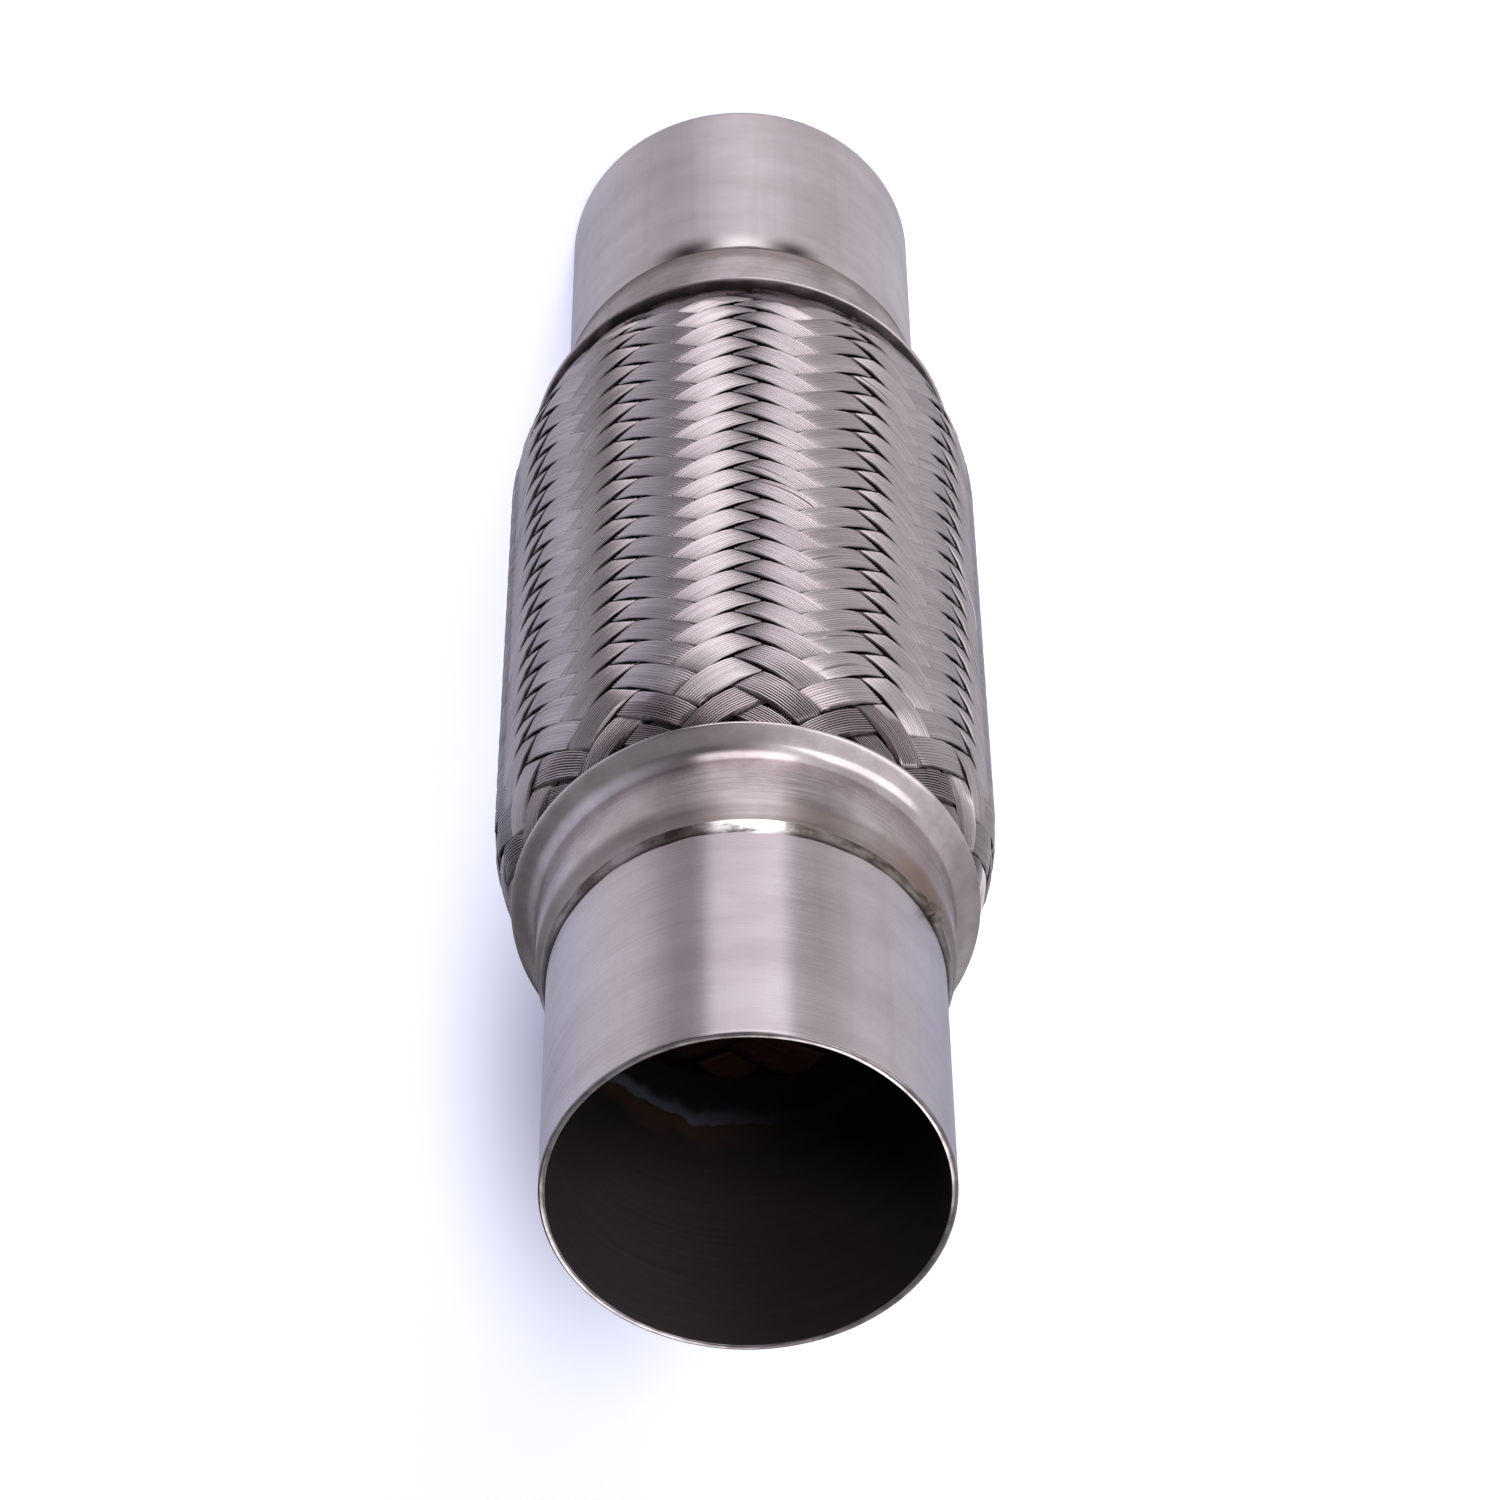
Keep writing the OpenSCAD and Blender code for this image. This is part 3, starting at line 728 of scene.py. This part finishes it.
def weave(hand, numbers, cloth):
    unit = math.pi / cloth["strands"]
    half_pitch = cloth["pitch"] / 2
    wires = cloth["wires"]
    side = cloth["side"]
    reach = (cloth["top"] - cloth["bottom"]) / 2 / half_pitch
    along = stations(reach)
    corners, faces, uvs = [], [], []
    across = np.linspace(-1, 1, 3 * wires + 1)
    is_valley = np.arange(3 * wires + 1) % 3 == 0
    wire_of = np.minimum(np.arange(3 * wires + 1) // 3, wires - 1)
    ring = 3 * wires + 3
    first = 0
    for number in numbers:
        shift = cloth["drift"] * rng.uniform(-1, 1)
        a = along[:, None] + number
        sway = np.sin(math.pi / 2 * (number + a + 0.5))
        lift = hand * (STEP * np.tanh(sway / STEP_LENGTH) + (1 - STEP) * sway)
        centre_z = MIDDLE + hand * (a - number) * half_pitch + 0.25 * cloth["pitch"]
        centre_end = np.minimum(centre_z, LENGTH - centre_z)
        spread = 1 - smooth(cloth["bottom"], cloth["bottom"] + OPENS_OVER, centre_end)
        half = cloth["half_width"] - cloth["pinch"] * np.exp(-(sway / 0.3) ** 2) - cloth["narrow"] * spread
        u = np.concatenate([across, [0.96, -0.96]])[None, :] * half + shift
        theta = (a + number + u) * unit + unit / 2
        z = centre_z - hand * u * half_pitch
        end = np.minimum(z, LENGTH - z)
        loose = 1 - smooth(cloth["bottom"] + LOOSE_FROM, cloth["bottom"] + LOOSE_TO, end)
        jitter = rng.uniform(-1, 1, wires)[wire_of]
        wave = np.sin(a * rng.uniform(0.6, 1.4, wires)[wire_of][None, :] + 7 * jitter[None, :])
        dip = np.where(is_valley, 1.0, 0.0)[None, :] * (cloth["valley"] + cloth["loose"] * loose[:, :-2])
        for _ in range(cloth["splits"]):
            if rng.uniform() < SPLIT_CHANCE:
                valley = 3 * rng.randint(2, wires - 2)
                at = rng.uniform(-reach, reach)
                dip[:, valley] += SPLIT_DEPTH * np.exp(-((along - at) / 0.9) ** 2)
        stray = cloth["stray"] * (jitter[None, :] + wave) * (0.4 + 1.6 * loose[:, :-2])
        droop = cloth["droop"] * (0.2 * across[None, :] ** 4 + across[None, :] ** 60)
        drop = cloth["lift"] * (1 - lift) + dip + np.abs(stray) + droop
        under = cloth["lift"] * (1 - lift) + cloth["thick"]
        depth = np.concatenate([drop, under, under], axis=1)
        r = cloth["face"](end) - side * depth
        r = np.maximum(r, CUFF_R) if side > 0 else r
        rows = len(along)
        corners.append(np.stack([r * np.cos(theta), r * np.sin(theta), z], axis=-1).reshape(-1, 3))
        length = np.repeat((a + number + 1.5 - hand) * cloth["unit_length"], ring, axis=1)
        uvs.append(np.stack([length, u * cloth["width"] + UV_ROW * number], axis=-1).reshape(-1, 2))
        k, m = np.meshgrid(np.arange(rows - 1), np.arange(ring), indexing="ij")
        m2 = (m + 1) % ring
        quads = np.stack([k * ring + m, k * ring + m2, (k + 1) * ring + m2, (k + 1) * ring + m], axis=-1)
        quads = quads.reshape(-1, 4) + first
        faces += (quads if hand * side > 0 else quads[:, ::-1]).tolist()
        first += rows * ring
    return np.concatenate(corners), faces, np.concatenate(uvs)


print("points along a strand of 20 crossings:", len(stations(10)))

# %% [markdown]
# ## Outer braid
# Twenty-four strands each way. The braid comes out from under a lip, swells over a shoulder to
# the belly and goes in again. Near the lips the wires are no longer pressed together, so single
# wires show there. Four pieces keep each mesh light.


# %% Outer braid
def braid_face(end):
    t = np.clip((end - LEAVE_Z) / (BELLY_Z - LEAVE_Z), 0, 1)
    shoulder = LEAVE_R + (BELLY_R - LEAVE_R) * (1 - (1 - t) ** SHOULDER)
    under_lip = np.interp(end, UNDER_LIP[0], UNDER_LIP[1])
    return np.where(end >= LEAVE_Z, shoulder, under_lip)


turn_in = np.linspace(0, LIP_TURN, 8)
flare = LIP_BEND + SHEET / 2 + 0.05
UNDER_LIP = (np.append(BEND_Z + flare * np.sin(turn_in), LEAVE_Z),
             np.append(NECK_R + LIP_BEND - flare * np.cos(turn_in), LEAVE_R))
BRAID_START = 63.6
BRAID = {
    "strands": STRANDS, "pitch": ROW_PITCH, "wires": 10, "side": 1,
    "bottom": BRAID_START, "top": LENGTH - BRAID_START,
    "half_width": 0.47, "pinch": 0.02, "drift": 0.004, "lift": 0.65, "thick": 0.3,
    "valley": 0.12, "loose": 0.7, "stray": 0.02, "splits": 3, "droop": 0.12, "narrow": 0.14,
    "face": braid_face, "unit_length": BRAID_UNIT, "width": BRAID_WIDTH,
}
for hand, hand_name in ((1, "right"), (-1, "left")):
    for half in (0, 1):
        numbers = range(STRANDS // 2 * half, STRANDS // 2 * (half + 1))
        corners, faces, uv = weave(hand, numbers, BRAID)
        name = f"braid_{hand_name}_hand_{half + 1}"
        new_piece(name, corners, faces, [BRAID_WIRE], "outer_braid", uv=uv, sharp=55)
        print(name, len(corners), "corners", len(faces), "faces")

# %% [markdown]
# ## Liner
# A coarser braid of browned wire lines the bellows and keeps the gas off it. Only its first
# rows show, deep in the mouth, so it has fewer strands with fewer wires.

# %% Liner
LINER_STRANDS = 16
LINER_START = 63.0
LINER_FACE = 28.72
LINER = {
    "strands": LINER_STRANDS, "pitch": 9.6, "wires": 4, "side": -1,
    "bottom": LINER_START, "top": LENGTH - LINER_START,
    "half_width": 0.44, "pinch": 0.04, "drift": 0.02, "lift": 0.12, "thick": 0.2,
    "valley": 0.05, "loose": 0.0, "stray": 0.01, "splits": 0, "droop": 0.02, "narrow": 0.0,
    "face": lambda end: np.full_like(end, LINER_FACE), "unit_length": LINER_UNIT, "width": LINER_UNIT,
}
for hand, hand_name in ((1, "right"), (-1, "left")):
    corners, faces, uv = weave(hand, range(LINER_STRANDS), LINER)
    name = f"liner_{hand_name}_hand"
    new_piece(name, corners, faces, [LINER_WIRE], "inner_braid", uv=uv, sharp=55)
    print(name, len(corners), "corners", len(faces), "faces")

# %% [markdown]
# ## Floor
# The pipe was shot on a white paper sweep. Matt paper needs little: a pale colour, high roughness
# and a faint glow that keeps it white. The real pipe lies down and shades the paper beside it;
# this one stands, so one soft blue shade is mixed in at a fixed place. The floor is left out of
# reflections, so that the metal mirrors the room.

# %% Floor
FLOOR_R = 3.0
FLOOR_SIDES = 64
floor_mesh = bpy.data.meshes.new("floor")
turns = np.linspace(0, 2 * math.pi, FLOOR_SIDES, endpoint=False)
edge_points = [(FLOOR_R * math.cos(a), FLOOR_R * math.sin(a), 0.0) for a in turns]
floor_mesh.from_pydata(edge_points, [], [list(range(FLOOR_SIDES))])
floor = bpy.data.objects.new("floor", floor_mesh)
bpy.context.scene.collection.objects.link(floor)
paper, tree = new_material("paper_white_matt")
place_at = add(tree, "TexCoord").outputs["Object"]
shade_at = add(tree, "Mapping", {"Scale": (25.0, 10.0, 1.0), "Location": (-0.63, -1.9, 0.0)},
               {"Vector": place_at})
from_shade = add(tree, "VectorMath", None, {0: shade_at.outputs["Vector"]}, operation="LENGTH")
shade = add(tree, "MapRange", {"From Min": 1.0, "From Max": 0.0}, {"Value": from_shade.outputs["Value"]},
            interpolation_type="SMOOTHSTEP")
white = add(tree, "Mix", {6: linear("#f2f2f6"), 7: linear("#9ea0bf")}, {0: shade.outputs["Result"]},
            data_type="RGBA")
glow = add(tree, "MapRange", {"To Min": 0.5, "To Max": 0.0}, {"Value": shade.outputs["Result"]})
sheet = add(tree, "BsdfPrincipled", {"Roughness": 0.9, "Emission Color": linear("#d2d7ff")},
            {"Base Color": white.outputs[2], "Emission Strength": glow.outputs["Result"]})
add(tree, "OutputMaterial", None, {"Surface": sheet.outputs["BSDF"]})
floor_mesh.materials.append(paper)
floor.visible_glossy = False
print("floor:", 2 * FLOOR_R, "m across")

# %% [markdown]
# ## Studio world
# Polished metal shows its surroundings, so most of the look comes from the world. It is drawn
# with nodes from the direction of a ray: a low room that changes around the pipe, a high room
# that changes from side to side, a bright panel in front and a small window behind. The camera
# itself sees plain white.

# %% Studio world
LOW_ROOM = [(0.0, "#dfe4fb", 0.7), (0.15, "#e4e7fd", 0.78), (0.24, "#f6f4fa", 0.8), (0.33, "#faf6f8", 0.8),
            (0.37, "#f6f0f4", 0.48), (0.5, "#fff9fc", 0.46), (0.63, "#f6f0f4", 0.58), (0.67, "#faf6f8", 0.96),
            (0.76, "#f4f3fa", 0.96), (0.85, "#e2e6fd", 0.84), (1.0, "#dfe4fb", 0.7)]
HIGH_ROOM = [(0.0, "#ffffff", 0.75), (0.2, "#ffffff", 0.75), (0.28, "#ffffff", 0.95), (0.4, "#ffffff", 1.0),
             (0.48, "#f8f4f6", 0.5), (0.55, "#f8f4f6", 0.3), (0.62, "#f4f0f6", 0.14), (0.76, "#f4f0f8", 0.2),
             (0.87, "#f0f0fa", 0.5), (1.0, "#e6e8fa", 0.85)]
world = bpy.data.worlds.new("studio")
bpy.context.scene.world = world
world.use_nodes = True
tree = world.node_tree
tree.nodes.clear()
look = add(tree, "TexCoord")
axes = add(tree, "SeparateXYZ", None, {"Vector": look.outputs["Generated"]})
front = add(tree, "Math", {1: -1.0}, {0: axes.outputs["Y"]}, operation="MULTIPLY")
turn = add(tree, "Math", None, {0: axes.outputs["X"], 1: front.outputs[0]}, operation="ARCTAN2")
aside = add(tree, "Math", None, {0: turn.outputs[0]}, operation="ABSOLUTE")
around_share = add(tree, "MapRange", {"From Min": -math.pi, "From Max": math.pi},
                   {"Value": turn.outputs[0]})
side_share = add(tree, "MapRange", {"From Min": -1.0}, {"Value": axes.outputs["X"]})
low_ramp = add(tree, "ValToRGB", None, {"Fac": around_share.outputs["Result"]})
high_ramp = add(tree, "ValToRGB", None, {"Fac": side_share.outputs["Result"]})
for ramp, stops in ((low_ramp.color_ramp, LOW_ROOM), (high_ramp.color_ramp, HIGH_ROOM)):
    while len(ramp.elements) < len(stops):
        ramp.elements.new(0.5)
    for element, (at, colour, strength) in zip(ramp.elements, stops):
        element.position = at
        element.color = [c * strength for c in linear(colour)[:3]] + [1.0]
height = add(tree, "MapRange", {"From Min": -0.76, "From Max": -0.45}, {"Value": axes.outputs["Z"]},
             interpolation_type="SMOOTHSTEP")
below = add(tree, "MapRange", {"From Min": -0.98, "From Max": -0.86, "To Min": 0.35},
            {"Value": axes.outputs["Z"]}, interpolation_type="SMOOTHSTEP")
dim_room = add(tree, "Mix", {0: 1.0}, {6: low_ramp.outputs["Color"], 7: below.outputs["Result"]},
               data_type="RGBA", blend_type="MULTIPLY")
rear = add(tree, "MapRange", {"From Min": 0.1, "From Max": 0.5, "To Min": 1.0, "To Max": 0.6},
           {"Value": axes.outputs["Y"]}, interpolation_type="SMOOTHSTEP")
zenith = add(tree, "MapRange", {"From Min": 0.78, "From Max": 0.94, "To Min": 1.0, "To Max": 0.7},
             {"Value": axes.outputs["Z"]}, interpolation_type="SMOOTHSTEP")
dimmed = add(tree, "Math", None, {0: rear.outputs["Result"], 1: zenith.outputs["Result"]},
             operation="MULTIPLY")
far_room = add(tree, "Mix", {0: 1.0}, {6: high_ramp.outputs["Color"], 7: dimmed.outputs[0]},
               data_type="RGBA", blend_type="MULTIPLY")
room = add(tree, "Mix", None, {0: height.outputs["Result"], 6: dim_room.outputs[2], 7: far_room.outputs[2]},
           data_type="RGBA")
panel_side = add(tree, "MapRange", {"From Min": 0.44, "From Max": 0.3}, {"Value": aside.outputs[0]},
                 interpolation_type="SMOOTHSTEP")
panel_top = add(tree, "MapRange", {"From Min": 0.4, "From Max": -0.08}, {"Value": axes.outputs["Z"]},
                interpolation_type="SMOOTHSTEP")
panel_foot = add(tree, "MapRange", {"From Min": -0.93, "From Max": -0.6}, {"Value": axes.outputs["Z"]},
                 interpolation_type="SMOOTHSTEP")
panel_edge = add(tree, "Math", None, {0: panel_side.outputs["Result"], 1: panel_top.outputs["Result"]},
                 operation="MULTIPLY")
panel_rise = add(tree, "MapRange", {"From Min": -0.8, "From Max": -0.4, "To Min": 1.0, "To Max": 1.3},
                 {"Value": axes.outputs["Z"]})
panel_body = add(tree, "Math", None, {0: panel_edge.outputs[0], 1: panel_foot.outputs["Result"]},
                 operation="MULTIPLY")
panel = add(tree, "Math", None, {0: panel_body.outputs[0], 1: panel_rise.outputs["Result"]},
            operation="MULTIPLY")
panel_light = add(tree, "Mix", {6: (0, 0, 0, 1), 7: (1.14, 1.1, 1.14, 1)}, {0: panel.outputs[0]},
                  data_type="RGBA", clamp_factor=False)
window_gap = add(tree, "VectorMath", {1: (0.18, 0.8, 0.57)}, {0: look.outputs["Generated"]},
                 operation="DISTANCE")
window = add(tree, "MapRange", {"From Min": 0.26, "From Max": 0.12, "To Max": 3.8},
             {"Value": window_gap.outputs["Value"]}, interpolation_type="SMOOTHSTEP")
with_panel = add(tree, "Mix", {0: 1.0}, {6: room.outputs[2], 7: panel_light.outputs[2]},
                 data_type="RGBA", blend_type="ADD")
overhead = add(tree, "MapRange", {"From Min": 0.72, "From Max": 0.92, "To Max": 0.16},
               {"Value": axes.outputs["Z"]}, interpolation_type="SMOOTHSTEP")
upper_light = add(tree, "Math", None, {0: window.outputs["Result"], 1: overhead.outputs["Result"]},
                  operation="ADD")
whole = add(tree, "Mix", {0: 1.0}, {6: with_panel.outputs[2], 7: upper_light.outputs[0]},
            data_type="RGBA", blend_type="ADD")
lit = add(tree, "Background", {"Strength": 1.0}, {"Color": whole.outputs[2]})
seen = add(tree, "Background", {"Color": (0.93, 0.93, 0.95, 1.0), "Strength": 1.0})
ray = add(tree, "LightPath")
both = add(tree, "MixShader", None,
           {0: ray.outputs["Is Camera Ray"], 1: lit.outputs[0], 2: seen.outputs[0]})
add(tree, "OutputWorld", None, {"Surface": both.outputs[0]})
print("world:", len(LOW_ROOM), "tones around and", len(HIGH_ROOM), "tones across")

# %% [markdown]
# ## Lamps
# A soft box at one side gives the metal a gentle edge light, and a lamp in front lights the paper.
# The second one is hidden from reflections, because no small bright square shows in the steel.

# %% Lamps
softbox_data = bpy.data.lights.new("softbox", "AREA")
softbox_data.shape = "RECTANGLE"
softbox_data.size = 1.0
softbox_data.size_y = 0.8
softbox_data.energy = 3.6
softbox = bpy.data.objects.new("softbox", softbox_data)
bpy.context.scene.collection.objects.link(softbox)
softbox.location = (-0.8, -0.52, 0.95)
aim = -softbox.location.normalized()
softbox.rotation_euler = aim.to_track_quat("-Z", "Y").to_euler()
softbox.visible_camera = False

floor_lamp_data = bpy.data.lights.new("floor_lamp", "AREA")
floor_lamp_data.size = 0.5
floor_lamp_data.energy = 22.0
floor_lamp = bpy.data.objects.new("floor_lamp", floor_lamp_data)
bpy.context.scene.collection.objects.link(floor_lamp)
floor_lamp.location = (-0.2, -1.5, 1.3)
floor_lamp.rotation_euler = (-floor_lamp.location.normalized()).to_track_quat("-Z", "Y").to_euler()
floor_lamp.visible_camera = False
floor_lamp.visible_glossy = False

bpy.context.scene.view_settings.view_transform = "Standard"
print("lights:", softbox.name, floor_lamp.name, "and the studio world")
